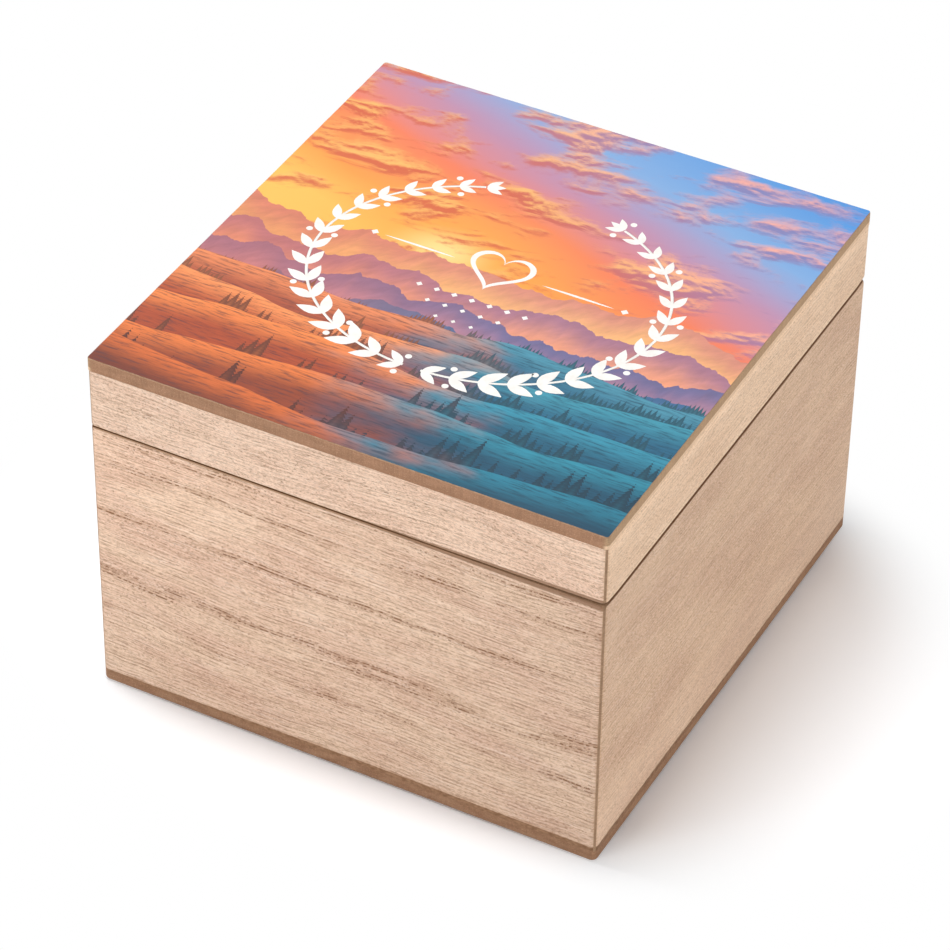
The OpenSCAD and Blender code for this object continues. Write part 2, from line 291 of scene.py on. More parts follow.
class Graph:
    """A node tree to which nodes are added by what they are, what they take and how they are set."""

    def __init__(self, tree):
        self.tree = tree

    def node(self, kind, sockets=None, output=0, **settings):
        made = set_up(self.tree.nodes.new(kind), **settings)
        for key, given in (sockets or {}).items():
            self.feed(self.socket(made.inputs, key), given)
        return Value(self, self.socket(made.outputs, output)) if made.outputs else None

    def socket(self, sockets, key):
        if isinstance(key, int):
            return sockets[key]
        found = [s for s in sockets if s.identifier == key]
        return (found or [s for s in sockets if s.name == key and s.enabled])[0]

    def feed(self, socket, given):
        if isinstance(given, Value):
            self.tree.links.new(given.output, socket)
        elif isinstance(given, str) and given.startswith("#"):
            socket.default_value = linear(given)
        else:
            socket.default_value = given

    def math(self, operation, *values):
        return self.node("ShaderNodeMath", dict(enumerate(values)), operation=operation)

    def most(self, first, *others):
        """The highest of some values."""
        for other in others:
            first = self.math("MAXIMUM", first, other)
        return first

    def length(self, x, y):
        return self.math("SQRT", x * x + y * y)

    def vector(self, x, y, z=0.0):
        return self.node("ShaderNodeCombineXYZ", {"X": x, "Y": y, "Z": z})

    def split(self, vector):
        """The x, y and z of a vector."""
        parted = self.node("ShaderNodeSeparateXYZ", {0: vector}).output.node
        return [Value(self, output) for output in parted.outputs]

    def scaled(self, vector, factor):
        """A vector or a colour times a factor."""
        return self.node("ShaderNodeVectorMath", {"Vector": vector, "Scale": factor}, operation="SCALE")

    def seen_directly(self):
        """1 for what the camera sees, also in reflections or through glass, and 0 for what lights things."""
        kinds = ("Camera", "Glossy", "Transmission")
        return self.most(*(self.node("ShaderNodeLightPath", output=f"Is {kind} Ray") for kind in kinds))


class Finish(Graph):
    """A material, whose patterns are measured in millimetres on the object's own coordinates."""

    def __init__(self, name):
        self.material = bpy.data.materials.new(name)
        self.material.use_nodes = True
        super().__init__(self.material.node_tree)
        self.tree.nodes.clear()
        place = self.node("ShaderNodeTexCoord", output="Object")
        self.x, self.y, self.z = self.split(self.scaled(place, 1 / MM))

    def noise(self, place, detail=2.0, roughness=0.5, distortion=0.0):
        """Noise at a place of x, y and z, with spots of about 1."""
        sockets = {"Vector": self.vector(*place), "Scale": 1.0}
        sockets.update({"Detail": detail, "Roughness": roughness, "Distortion": distortion})
        return self.node("ShaderNodeTexNoise", sockets, "Fac")

    def spots(self, x, y, z, detail=2.0, roughness=0.5):
        """Noise with spots of x by y by z millimetres."""
        return self.noise((self.x / x, self.y / y, self.z / z), detail, roughness)

    def mix(self, share, a, b):
        sockets = {"Factor_Float": share, "A_Color": a, "B_Color": b}
        return self.node("ShaderNodeMix", sockets, "Result_Color", data_type="RGBA")

    def layered(self, colour, *layers):
        """A colour with others over it, each given as (share, colour)."""
        for share, other in layers:
            colour = self.mix(share, colour, other)
        return colour

    def ramp(self, share, stops):
        """Colours that follow each other at the places of their stops."""
        ramp = self.node("ShaderNodeValToRGB", {"Fac": share})
        elements = ramp.output.node.color_ramp.elements
        while len(elements) < len(stops):
            elements.new(0)
        for element, (place, colour) in zip(elements, stops):
            element.position = place
            element.color = linear(colour)
        return ramp

    def bump(self, height, strength, depth_mm):
        sockets = {"Height": height, "Strength": strength, "Distance": depth_mm * MM}
        return self.node("ShaderNodeBump", sockets, "Normal")

    def done(self, **sockets):
        """Joins the shader to what it takes; an underscore in a name stands for a space."""
        named = {key.replace("_", " "): given for key, given in sockets.items()}
        shader = self.node("ShaderNodeBsdfPrincipled", named)
        self.node("ShaderNodeOutputMaterial", {"Surface": shader})
        return self.material


# Veneer


def veneer_pattern(wood, run, seed, ringed):
    """Blotches, bands, rings, fibres, speckle, fine lines and pores of a veneer that runs along x or y."""
    along = wood.x if run == "x" else wood.y

    def sway(length, height, step, detail, swing):
        """How far the grain swings up and down."""
        return (wood.noise((along / length, wood.z / height, seed + step), detail) - 0.5) * swing

    line = wood.z + sway(85, 60, 0, 1, 7) + sway(19, 12, 4, 2, 1.6)

    def grain(length, width, step, detail, roughness=0.5):
        """Noise drawn out along the grain. Its lattice leans, so that it doesn't show as columns."""
        lean = line * (0.41 / width)
        return wood.noise((along / length + lean, line / width, seed + step), detail, roughness)

    def dashes(gap, length, step, share, softness):
        """Rows of short dashes along the grain. share is how much of a row they take, from 0 to 1."""
        row_at = line / gap
        row = wood.math("FLOOR", row_at)
        sockets = {"W": row + (seed + step)}
        start = wood.node("ShaderNodeTexWhiteNoise", sockets, "Value", noise_dimensions="1D")
        lengthwise = wood.noise((along / length + start * 60, row * 3.7, seed + step), 2, 0.6)
        body = abs(row_at - row - 0.5).step(0.34, 0.06)
        return (lengthwise - (0.74 - share * 0.46)).step(-softness, softness) * body

    blotches = grain(30, 10, 1, 3)
    bands = grain(60, 3.4, 2, 2)
    cells = {"W": (line + (grain(12, 4, 9, 2) - 0.5) * 3) / RING_GAP + seed, "Scale": 1.0}
    ring = wood.node("ShaderNodeTexVoronoi", cells, voronoi_dimensions="1D")
    rings = ring.step(0.17, 0.0) * grain(22, 3.5, 3, 2).step(0.32, 0.6) * ringed
    fibres = grain(11, 0.42, 5, 3, 0.65)
    speckle = grain(0.7, 0.26, 6, 2, 0.7)
    lines = wood.most(dashes(0.98, 3.2, 7, 0.5, 0.12), dashes(0.61, 2.2, 8, 0.42, 0.12) * 0.75)
    pore_share = 0.24 + rings * 0.36 + (blotches - 0.5) * 0.4 + (bands - 0.5) * 0.4
    pores = dashes(0.86, 1.1, 11, pore_share, 0.05)
    return blotches, bands, rings, fibres, speckle, lines, pores


def sanded_colour(wood, run, seed, colour, streak):
    """An outer veneer's colour, worn at its ends and foot, and sanded thin or through at foot and seam, with
    painted light: brightness gradients, a painted highlight along the lid's side rails, painted shade and
    dirt in the groove at the seam on the sides, and the groove painted lighter on the front and back.
    """
    along, face = (wood.x, wood.y) if run == "x" else (wood.y, wood.x)
    length, reach = (WIDTH / 2, DEPTH / 2) if run == "x" else (DEPTH / 2, WIDTH / 2)
    nibble = (wood.noise((along / 1.1, wood.z / 0.8, seed + 9), 3) - 0.5) * 1.1
    patchy = wood.noise((along / 9, wood.z / 20, seed + 10), 2)

    # How high the foot was sanded through and how far the seam was sanded thin, both more at the front right
    through = BOTTOM_TOP + 0.35 + nibble * 0.12
    thin = 0.38 + nibble * 0.3
    if run == "x":
        # Painted light: the base's front and back walls darken towards the right and lighten upwards, most on
        # the left, and the lid's walls lighten towards the right
        front = (face * -1).step(0, 1)
        to_right = along / WIDTH
        on_base = (SEAM - wood.z).step(0, 1)
        upward = (wood.z - SEAM / 2) * on_base * (0.003 - to_right * 0.003)
        painted_light = 1 - to_right * (on_base * 0.17 - 0.04) + upward
        through = through + to_right.step(-0.45, 0.1) * front * 0.85
        thin = thin + to_right.step(-0.3, 0.6) * front * 1.2 - 0.08
        # Painted light: on the front and back the groove at the seam is painted lighter, against its own deep
        # shade
        groove, groove_reach = GROOVE_PAINTED_LIGHTER, RIM_SLOPE + 0.34
    else:
        # Painted light: a painted highlight along the top of the lid's side rails, and the base's side walls
        # paler and lighter towards the foot, most at the front
        near_foot = wood.z.step(26, 6)
        colour = wood.mix(near_foot * 0.08, colour, PALE_FIBRE_AND_PAINTED_LIGHT)
        at_top = (wood.z - RAIL_TOP).step(-3.2, -0.6)
        painted_light = 1 + at_top * 0.09 + near_foot * (0.1 - along * (0.1 / DEPTH))
        through = through + along.step(10, -35) * face.step(0, 1)
        # Painted shade: on the sides the groove at the seam is painted dark, with some dirt
        groove, groove_reach = SEAM_SHADE_AND_DIRT, RIM_SLOPE + 0.4
    colour = wood.scaled(colour, painted_light)

    ends = (abs(along) + nibble).step(length - 1.3, length - 0.1)
    foot = (through - 0.15 + patchy * 1.3 + nibble - wood.z).step(0, 0.6)
    round_edge = (reach - abs(face)).step(0.05, 0.3)
    bared = wood.mix(nibble.step(-0.22, 0.22), SANDED_THROUGH, SANDED_THROUGH_DARK)
    from_seam = abs(wood.z - SEAM)
    return wood.layered(
        colour,
        (wood.most(wood.most(ends, foot) * 0.5, round_edge * 0.35), streak),
        ((through - wood.z).step(-0.03, 0.06), bared),
        ((thin - from_seam).step(0, 0.25) * 0.85, THIN_VENEER),
        ((groove_reach - from_seam).step(0, 0.12) * 0.9, groove),
    )


def veneer_finish(name, run, wood_of_side, sanded):
    """Open-pored veneer that runs along x or y. An outer one is also sanded at its corners, foot and seam,
    and carries painted light and shade.
    """
    seed, ground, blush, streak, pore, coarse, ringed = wood_of_side
    wood = Finish(name)
    blotches, bands, rings, fibres, speckle, lines, pores = veneer_pattern(wood, run, seed, ringed)
    rough = (0.5 - fibres) * 1.7 + (0.5 - speckle) * (3.2 - ringed * 1.4) + (0.5 - bands) * 0.4
    rough = rough * coarse
    colour = wood.layered(
        ground,
        (blotches.step(0.34, 0.68), blush),
        (rings * (0.42 * coarse), streak),
        (rough, pore),
        (rough * -0.8, PALE_FIBRE_AND_PAINTED_LIGHT),
        (wood.most(lines * 0.38, pores * (rings * 0.45 + 0.46)) * coarse, pore),
    )
    if sanded:
        colour = sanded_colour(wood, run, seed, colour, streak)
    height = fibres * 0.4 + speckle * 0.4 - lines * 0.4 - pores * 0.9
    return wood.done(
        Base_Color=colour,
        Roughness=0.62 + (fibres - 0.5) * 0.2 + pores * 0.15,
        Specular_IOR_Level=0.35,
        Normal=wood.bump(height, 0.45 * coarse, 0.12),
    )


# Fibreboard, brass and print


def fibreboard_edge(name, colours, low, high, lap=0.0):
    """Sawn edge of fibreboard between two heights, denser at its faces.

    lap is the height to which the sides' veneer was pressed over its lower arris, which left it paler."""
    ground, dark, pale = colours
    board = Finish(name)
    skin = abs(board.z - (low + high) / 2).step((high - low) * 0.30, (high - low) * 0.5)
    flecks = board.spots(0.35, 0.35, 0.3, 3, 0.7)
    clumps = board.spots(4.5, 4.5, 1.4, 3, 0.55)
    saw = board.spots(0.55, 0.55, 9)
    colour = board.layered(
        ground,
        (clumps.step(0.3, 0.7), dark),
        (flecks.step(0.52, 0.75) * 0.65, pale),
        (skin * 0.25, dark),
    )
    sides = (abs(board.x) - WIDTH / 2 + CORNER_RADIUS).step(0, CORNER_RADIUS * 0.8)
    if lap:
        lapped = (low + lap - board.z).step(-0.06, 0.06) * sides
        colour = board.layered(colour, (sides * 0.5, "#c6a983"), (lapped, "#e9c7a6"))
    else:
        # Painted light: the bottom panel's side edges are painted lighter
        colour = board.scaled(colour, 1 + sides * 0.14)
    return board.done(
        Base_Color=board.scaled(colour, 1 + (saw - 0.5) * 0.35 + (flecks - 0.5) * 0.6),
        Roughness=0.74 + (flecks - 0.5) * 0.2,
        Specular_IOR_Level=0.3,
        Normal=board.bump(saw * 0.6 + flecks * 0.6, 0.5, 0.1),
    )


def bare_core():
    """Fibreboard of the walls, bare at sanded arrises, with painted shade and dirt along the seam, less of it
    at the front towards the right, where it is painted lighter.
    """
    ground, dark, pale = CORE
    board = Finish("bare wall core")
    flecks = board.spots(0.35, 0.35, 0.35, 3, 0.65)
    fibres = board.spots(1.1, 1.1, 1.1, 3, 0.6)
    depth = board.math("MINIMUM", WIDTH / 2 - abs(board.x), DEPTH / 2 - abs(board.y))
    # Painted shade and dirt along the seam near the outer faces, painted lighter at the front towards the
    # right
    seam_shade_and_dirt = abs(board.z - SEAM).step(1.6, 0.5) * (depth - board.spots(9, 9, 9) * 0.8).step(0.9, 0.2)
    front = (board.y * -1).step(DEPTH / 2 - 3, DEPTH / 2 - 2)
    front_painted_lighter = front * board.x.step(-WIDTH * 0.15, WIDTH * 0.5)
    colour = board.layered(
        ground,
        (fibres.step(0.35, 0.7) * 0.6, dark),
        (flecks.step(0.52, 0.75) * 0.5, pale),
        (seam_shade_and_dirt * (0.75 - front_painted_lighter * 0.55), SEAM_SHADE_AND_DIRT),
    )
    return board.done(
        Base_Color=board.scaled(colour, 1 + (flecks - 0.5) * 0.5),
        Roughness=0.76 + (flecks - 0.5) * 0.2,
        Specular_IOR_Level=0.3,
        Normal=board.bump(flecks, 0.5, 0.1),
    )


def fibreboard_face(name, colours):
    """Smooth pressed face of fibreboard, with short fibres lying every way."""
    ground, dark, pale = colours
    board = Finish(name)
    turn = board.spots(1.6, 1.6, 1.6, 1) * 9
    fibres = board.noise((board.x / 0.55 + turn, board.y / 0.55 - turn, board.z / 0.5), 3, 0.6)
    specks = board.spots(0.3, 0.3, 0.3, 2, 0.6)
    colour = board.layered(
        ground,
        (board.spots(22, 22, 22).step(0.2, 0.8) * 0.3, dark),
        (fibres.step(0.54, 0.72) * 0.4, pale),
        (fibres.step(0.46, 0.3) * 0.35, dark),
    )
    return board.done(
        Base_Color=board.scaled(colour, 1 + (specks - 0.5) * 0.35),
        Roughness=0.58 + (fibres - 0.5) * 0.25,
        Specular_IOR_Level=0.35,
        Normal=board.bump(fibres, 0.25, 0.05),
    )


def brass_finish(name, ground, tarnish, brushed, roughness):
    """Satin brass with fine scratches along X, brown tarnish in patches and soft pits."""
    brass = Finish(name)
    scratches = brass.spots(6, 0.06, 0.06, 3, 0.6)
    patches = brass.spots(3.2, 2.2, 2.2, 4, 0.6)
    pits = brass.spots(0.25, 0.25, 0.25)
    colour = brass.mix(patches.step(0.48, 0.78) * 0.6, ground, tarnish)
    return brass.done(
        Base_Color=brass.scaled(colour, 1 + (scratches - 0.5) * 0.18),
        Metallic=1.0,
        Roughness=roughness + (patches - 0.5) * 0.25 + (scratches - 0.5) * 0.2,
        Normal=brass.bump(scratches * brushed + pits * 0.3, 0.3, 0.03),
    )


def evening_sky(ink, to_right):
    """Sky from orange on the left to blue, with a glow low on the left and clouds that are lit from below."""
    x, y = ink.x, ink.y
    height = (y - HORIZON) / (DEPTH / 2 - HORIZON)
    warp = (ink.noise((x / 30, y / 12, 2.0), 3) - 0.5) * 9
    sky = ink.ramp(height * 0.74 + to_right * 0.52 + warp / 130 + 0.06, SKY)
    distance = ink.length(x - GLOW[0], (y - GLOW[1]) * 1.5)
    sky = ink.layered(sky, (distance.step(46, 0) * 0.7, "#ffb04a"), (distance.step(15, 0) * 0.85, "#ffe79a"))

    def cloud_body(lift):
        place = (x / 26 + y / 90, (y + warp * 0.5 + lift) / 9.5 - x / 60, 7.0)
        return ink.noise(place, 7, 0.6, 0.25)

    body = cloud_body(0.0)
    lit = (cloud_body(-1.1) - body) * 7 + 0.5
    cool = (height * 0.6 + to_right).step(0.15, 0.85)
    light = ink.mix(cool, "#ffc06c", "#ffb09c")
    dark = ink.mix(cool, "#d4623f", "#8780b4")
    return ink.mix(body.step(0.47, 0.60) * 0.9, sky, ink.mix(lit.step(0.1, 0.9), dark, light))


def ridge(ink, picture, to_right, number, base, swing, length, crest, mist):
    """Adds a far ridge with gullies, whose foot lies in mist and whose left is lit by the evening."""
    outline = ink.noise((ink.x / length, number * 5.3, 0.0), 7, 0.52)
    below = base + (outline - 0.5) * (2 * swing) - ink.y
    gullies = ink.noise(((ink.x + below * 0.8) / 2.4, ink.y / 5.5, number + 1.0), 4, 0.6)
    tone = ink.mix(below.step(0, 12), crest, mist)
    tone = ink.mix(to_right.step(0.18, -0.42) * 0.45, tone, "#d2683f")
    tone = ink.scaled(tone, 1 + (gullies - 0.5) * 0.55)
    return ink.mix(below.step(-0.12, 0.12), picture, tone)


def fir_row(ink, picture, top, grove, number, crown, half, fir, lit_crest):
    """Adds a row of firs behind a hill's crest. Each is a tooth as wide as its crown, with boughs."""
    cell = ink.x / crown + half + number * 0.37
    which = ink.math("FLOOR", cell)
    sockets = {"Vector": ink.vector(which, number + half)}
    tall = ink.node("ShaderNodeTexWhiteNoise", sockets, "Value", noise_dimensions="2D")
    bough = ink.math("FRACT", ink.y / (crown * 0.22) + tall * 7)
    side = abs(cell - which - 0.5) * 2 + bough * 0.2
    below = top + ((grove + tall * 0.6) * 2.0 - 0.9 - side * 2.3) * crown - ink.y
    haze = below.step(0, crown * 2.5) * 0.3 + (0.24 - number * 0.05)
    return ink.mix(below.step(-0.08, 0.08), picture, ink.mix(haze, fir, lit_crest))


def hill(ink, picture, to_right, number, base, swing, length, crest, hollow, cool_crest, cool_hollow, crown):
    """Adds a grassy hill, in the sun on its left and in the shade on its right, and firs behind its crest."""
    x, y = ink.x, ink.y
    top = base + (ink.noise((x / length, number * 5.9, 20.0), 2, 0.4) - 0.5) * (2 * swing)
    edge_of_shade = (ink.noise((x / 15, y / 7, number + 30.0), 3) - 0.5) * 0.5
    shade = (to_right + edge_of_shade).step(-0.16, 0.2)
    lit_crest = ink.mix(shade, crest, cool_crest)
    grove = (ink.noise((x / 9, number * 2.3, 40.0)) + to_right * 0.12).step(0.38, 0.62)
    fir = ink.mix(shade, "#4c231e", "#0a3043")
    for half in (0.0, 0.5):
        picture = fir_row(ink, picture, top, grove, number, crown, half, fir, lit_crest)
    below = top - y
    blades = ink.noise((x / 6, (y + below * 0.15) / 0.55, number + 50.0), 4, 0.65)
    tone = ink.mix(below.step(0, 8.5), lit_crest, ink.mix(shade, hollow, cool_hollow))
    tone = ink.mix(blades.step(0.5, 0.66) * 0.55, tone, ink.mix(shade, "#5b3a41", "#0f4660"))
    tone = ink.scaled(tone, 1 + (0.5 - blades) * 1.1)
    return ink.mix(below.step(-0.08, 0.08), picture, tone)


def picture_finish():
    """The print: ridges and hills with firs under an evening sky, from orange on the left to blue."""
    ink = Finish("satin printed landscape")
    to_right = ink.x / WIDTH
    picture = evening_sky(ink, to_right)
    for number, sizes_and_colours in enumerate(RIDGES):
        picture = ridge(ink, picture, to_right, number, *sizes_and_colours)
    for number, sizes_and_colours in enumerate(HILLS):
        picture = hill(ink, picture, to_right, number, *sizes_and_colours)
    dots = ink.noise((ink.x / 0.12, ink.y / 0.12, 0.0), 1)
    rub = ink.noise((ink.x / 18, ink.y / 9, 5.0), 5, 0.65)
    return ink.done(
        Base_Color=ink.scaled(picture, 1 + (dots - 0.5) * 0.06),
        Roughness=0.42 + (rub - 0.5) * 0.16,
        Specular_IOR_Level=0.35,
        Coat_Weight=0.08 + (rub - 0.5) * 0.06,
        Coat_Roughness=0.25,
        Normal=ink.bump(rub + dots * 0.15, 0.12, 0.05),
    )


def white_ink_finish():
    """White screen ink, slightly uneven where the squeegee left it thinner."""
    ink = Finish("white screen ink")
    cover = ink.noise((ink.x / 2.2, ink.y / 2.2, 0.0), 4, 0.6)
    return ink.done(
        Base_Color=ink.mix(cover.step(0.3, 0.7), "#f6f2ec", "#fffdf9"),
        Roughness=0.45 + (cover - 0.5) * 0.15,
        Specular_IOR_Level=0.3,
        Normal=ink.bump(cover, 0.15, 0.02),
    )


def sheet_edge_finish():
    """Cut edge of the printed sheet, brown where the glue and the saw reached it."""
    paper = Finish("cut edge of the printed sheet")
    stain = paper.spots(1.5, 1.5, 0.2, 4, 0.65)
    return paper.done(
        Base_Color=paper.mix(stain.step(0.3, 0.7), "#86684f", "#bb9c82"),
        Roughness=0.8 + (stain - 0.5) * 0.2,
        Specular_IOR_Level=0.2,
        Normal=paper.bump(stain, 0.3, 0.05),
    )


# Meshes


def placed(name, data):
    """A new object in the scene."""
    thing = bpy.data.objects.new(name, data)
    bpy.context.scene.collection.objects.link(thing)
    return thing


def smooth(piece, angle):
    """Shades a mesh smooth, apart from edges that turn by more than an angle in degrees."""
    piece.data.shade_smooth()
    piece.data.set_sharp_from_angle(angle=radians(angle))


@contextmanager
def edited(mesh):
    """A mesh's working copy, which is written back to it at the end."""
    work = bmesh.new()
    work.from_mesh(mesh)
    yield work
    work.to_mesh(mesh)
    work.free()


def merge(work):
    """Joins vertices that lie in one place."""
    bmesh.ops.remove_doubles(work, verts=work.verts, dist=MERGE_DISTANCE * MM)


def paint(mesh, *finishes):
    """Gives a mesh its finishes, in place of those that it has."""
    mesh.materials.clear()
    for finish in finishes:
        mesh.materials.append(finish)


def mesh_piece(name, points, faces, finishes, chosen=None, smooth_angle=None):
    """A piece from points in millimetres. chosen gives a finish's number for a face."""
    mesh = bpy.data.meshes.new(name)
    mesh.from_pydata([Vector(p) * MM for p in points], [], faces)
    paint(mesh, *finishes)
    with edited(mesh) as work:
        merge(work)
        bmesh.ops.dissolve_degenerate(work, edges=work.edges, dist=SHORTEST_EDGE * MM)
        bmesh.ops.recalc_face_normals(work, faces=work.faces)
        work.normal_update()
        for face in work.faces:
            face.material_index = chosen(face) if chosen else 0
    piece = placed(name, mesh)
    if smooth_angle:
        smooth(piece, smooth_angle)
    return piece


def baked(piece):
    """Turns a piece and its modifiers into a plain mesh."""
    shown = piece.evaluated_get(bpy.context.evaluated_depsgraph_get())
    mesh = bpy.data.meshes.new_from_object(shown)
    piece.modifiers.clear()
    old = piece.data
    piece.data = mesh
    mesh.name = piece.name
    bpy.data.meshes.remove(old)
    return piece


def modified(piece, kind, **settings):
    """Bakes a modifier into a piece."""
    set_up(piece.modifiers.new(kind, kind), **settings)
    return baked(piece)


def loft(loops):
    """Points and faces between loops of as many points each, with the first and the last loop filled."""
    count = len(loops[0])
    points = [p for loop in loops for p in loop]
    last = len(points) - count
    faces = []
    for start in range(0, last, count):
        for i in range(count):
            j = (i + 1) % count
            faces.append((start + i, start + j, start + count + j, start + count + i))
    faces.append(tuple(range(count))[::-1])
    faces.append(tuple(range(last, last + count)))
    return points, faces


# Walls


def drift(x, y, seed, waves):
    """Smooth noise round 0 at a place on the box, with a number of waves per millimetre."""
    return noise.noise(Vector((x * waves, y * waves, seed)))


def sanded_radius(x, y, toward, seed):
    """Radius in millimetres to which a rim was sanded, at a place on the wall; toward is 1 for the base."""
    at_front = min(1, max(0, (FRONT_REACH - (y + DEPTH / 2)) / FRONT_REACH))
    to_right = min(1, max(0, (x + WIDTH / 2) / WIDTH))
    at_back = max(0, 1 + (y - DEPTH / 2) / BACK_REACH) * max(0, 1 + (abs(x) - WIDTH / 2) / BACK_REACH)
    wobble = drift(x, y, seed, SLOW_WAVES) + 0.5 * drift(x, y, seed, QUICK_WAVES)
    radius, sharpness = BASE_SANDING if toward > 0 else LID_SANDING
    growth = FRONT_GROWTH * at_front * to_right**sharpness + BACK_GROWTH * at_back
    return radius + growth + SANDING_WOBBLE * wobble


def wall_half(side):
    """Half of a wall's length, less its share of the glue line."""
    return (DEPTH if side in ("left", "right") else WIDTH) / 2 - GLUE_LINE / 2


def between(start, end, steps):
    """Values in even steps from start to end, without start itself."""
    return [start + (end - start) * i / steps for i in range(1, steps + 1)]


def wall_columns(side, to_mitre):
    """Columns along a wall as (centre, angle): the round end on the left, the flat, the round on the right.

    A veneer's round ends stop where it is sanded through, and a core's go on to the mitre."""
    flat = wall_half(side) - CORNER_RADIUS
    mitre = 45
    edge_of_veneer = degrees(asin((CORNER_RADIUS - VENEER) / CORNER_RADIUS))
    bends = between(90, edge_of_veneer, VENEER_STEPS)
    if to_mitre:
        bends += between(edge_of_veneer, mitre, MITRE_STEPS)
    steps = round(flat)
    right = [(flat, angle) for angle in bends]
    left = [(-flat, 180 - angle) for angle in reversed(bends)]
    return left + [(along, 90) for along in (-flat, *between(-flat, flat, steps))] + right


def skin_point(column, inset):
    """Place on a wall's outline drawn in by an inset, as (along, depth)."""
    centre, angle = column
    radius = CORNER_RADIUS - inset
    angle = radians(angle)
    return centre + radius * cos(angle), CORNER_RADIUS - radius * sin(angle)


def wall_place(side, along, depth, height):
    """A point of a wall, given on the front wall, turned to its side of the box."""
    reach = (WIDTH if side in ("left", "right") else DEPTH) / 2
    return Matrix.Rotation(radians(SIDES[side]), 3, "Z") @ Vector((along, depth - reach, height))


def wall_rows(side, column, far, seed):
    """Rows of a column as (inset, height): those on the veneer, then those on the core that sanding bared."""
    along, depth = skin_point(column, 0)
    spot = wall_place(side, along, depth, SEAM)
    toward = 1 if far < SEAM else -1
    radius = sanded_radius(spot.x, spot.y, toward, seed)
    limit = CORNER_RADIUS - (CORNER_RADIUS - VENEER) / sin(radians(column[1]))
    stop = degrees(acos(max(0, 1 - max(0, limit) / radius)))

    def row(angle):
        angle = radians(angle)
        return radius * (1 - cos(angle)), SEAM - toward * (RIM_SLOPE + radius * (1 - sin(angle)))

    on_veneer = [row(angle) for angle in (0, *between(0, stop, RIM_STEPS))]
    on_core = [row(angle) for angle in between(stop, 90, RIM_STEPS)]
    return on_veneer, on_core


def outer_veneer(name, side, far, seed, finish):
    """Veneer on the outer face of a wall, thinned away where the corners and the seam were sanded."""
    loops = []
    for column in wall_columns(side, False):
        on_veneer, _ = wall_rows(side, column, far, seed)
        front = [(*skin_point(column, inset), height) for inset, height in [(0, far), *on_veneer]]
        back = [(along, VENEER, height) for along, _, height in (front[-1], front[0])]
        loops.append([wall_place(side, *p) for p in front + back])
    return mesh_piece(name, *loft(loops), [finish], smooth_angle=40)


def wall_core(name, side, far, seed, finish):
    """Fibreboard core of a wall: flat behind the veneer, and bare where the sanding went through it."""
    half = wall_half(side)
    loops = []
    for column in wall_columns(side, True):
        on_veneer, on_core = wall_rows(side, column, far, seed)
        loop = []
        for inset, height in [(0, far), *on_veneer, *on_core]:
            along, depth = skin_point(column, inset)
            loop.append((along, max(depth, VENEER), height))
        outer_along, outer_depth = skin_point(column, 0)
        share = outer_along / (half - outer_depth)
        for depth, height in ((RIM_SLOPE_DEPTH, SEAM), (CORE_BACK, SEAM), (CORE_BACK, far)):
            loop.append((share * (half - depth), depth, height))
        loops.append([wall_place(side, *p) for p in loop])
    return mesh_piece(name, *loft(loops), [finish], smooth_angle=40)


def cut_out(piece, cutters):
    """Cuts boxes, given as (lowest, highest) corners in metres, out of a piece."""
    for low, high in cutters:
        mesh = bpy.data.meshes.new("mortise cutter")
        place = Matrix.LocRotScale((low + high) / 2, None, high - low)
        with edited(mesh) as work:
            bmesh.ops.create_cube(work, size=1, matrix=place)
        cutter = placed("mortise_cutter", mesh)
        modified(piece, "BOOLEAN", operation="DIFFERENCE", solver="EXACT", object=cutter)
        bpy.data.objects.remove(cutter)


def mortises(body):
    """Boxes that a body's hinge leaves are let into at the back, as (lowest, highest) corners in metres."""
    gap = MORTISE_GAP * MM
    inside = (DEPTH / 2 - MORTISE_START) * MM
    boxes = []
    for hand in ("left", "right"):
        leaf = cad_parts[f"hinge_{hand}_{body}_leaf"]
        let_in = [v.co for v in leaf.data.vertices if v.co.y < inside]
        low = Vector(map(min, *let_in)) - Vector((gap, gap, gap))
        high = Vector(map(max, *let_in)) + Vector((gap, MORTISE_OVERRUN_BACK * MM, gap))
        if body == "lid":
            low.z = (SEAM - MORTISE_OVERRUN_SEAM) * MM
        else:
            high.z = (SEAM + MORTISE_OVERRUN_SEAM) * MM
        boxes.append((low, high))
    return boxes


# Panels and the printed sheet


def panel_outline(inset, corner_radius, seed, wobble):
    """Outline of a round-cornered panel drawn in by an inset, as points round it, with shallow dents."""
    radius = max(corner_radius - inset, SHARPEST_CORNER)
    reach_x, reach_y = WIDTH / 2 - inset - radius, DEPTH / 2 - inset - radius
    corner_steps, side_steps = 8, 60
    corners = []
    for number, (way_x, way_y) in enumerate([(1, 1), (-1, 1), (-1, -1), (1, -1)]):
        angles = [radians(90 * (number + i / corner_steps)) for i in range(corner_steps + 1)]
        corner = [(way_x * reach_x + radius * cos(a), way_y * reach_y + radius * sin(a)) for a in angles]
        corners.append(corner)
    outline = []
    for corner, following in zip(corners, corners[1:] + corners[:1]):
        start, end = Vector(corner[-1]), Vector(following[0])
        outline += corner
        outline += [start.lerp(end, i / side_steps) for i in range(1, side_steps)]
    dented = []
    for x, y in outline:
        dent = wobble * (0.5 + drift(x, y, seed, DENT_WAVES))
        pull = 1 - max(0, dent) / (WIDTH / 2)
        dented.append((x * pull, y * pull))
    return dented


def panel(name, profile, corner_radius, seed, wobbles, edge, face):
    """A panel lofted through a profile of (inset, height), with finishes for its sawn edge and its faces."""
    loops = []
    for (inset, height), wobble in zip(profile, wobbles):
        loops.append([(x, y, height) for x, y in panel_outline(inset, corner_radius, seed, wobble)])
    return mesh_piece(name, *loft(loops), [edge, face], lambda f: int(abs(f.normal.z) > 0.95), 50)


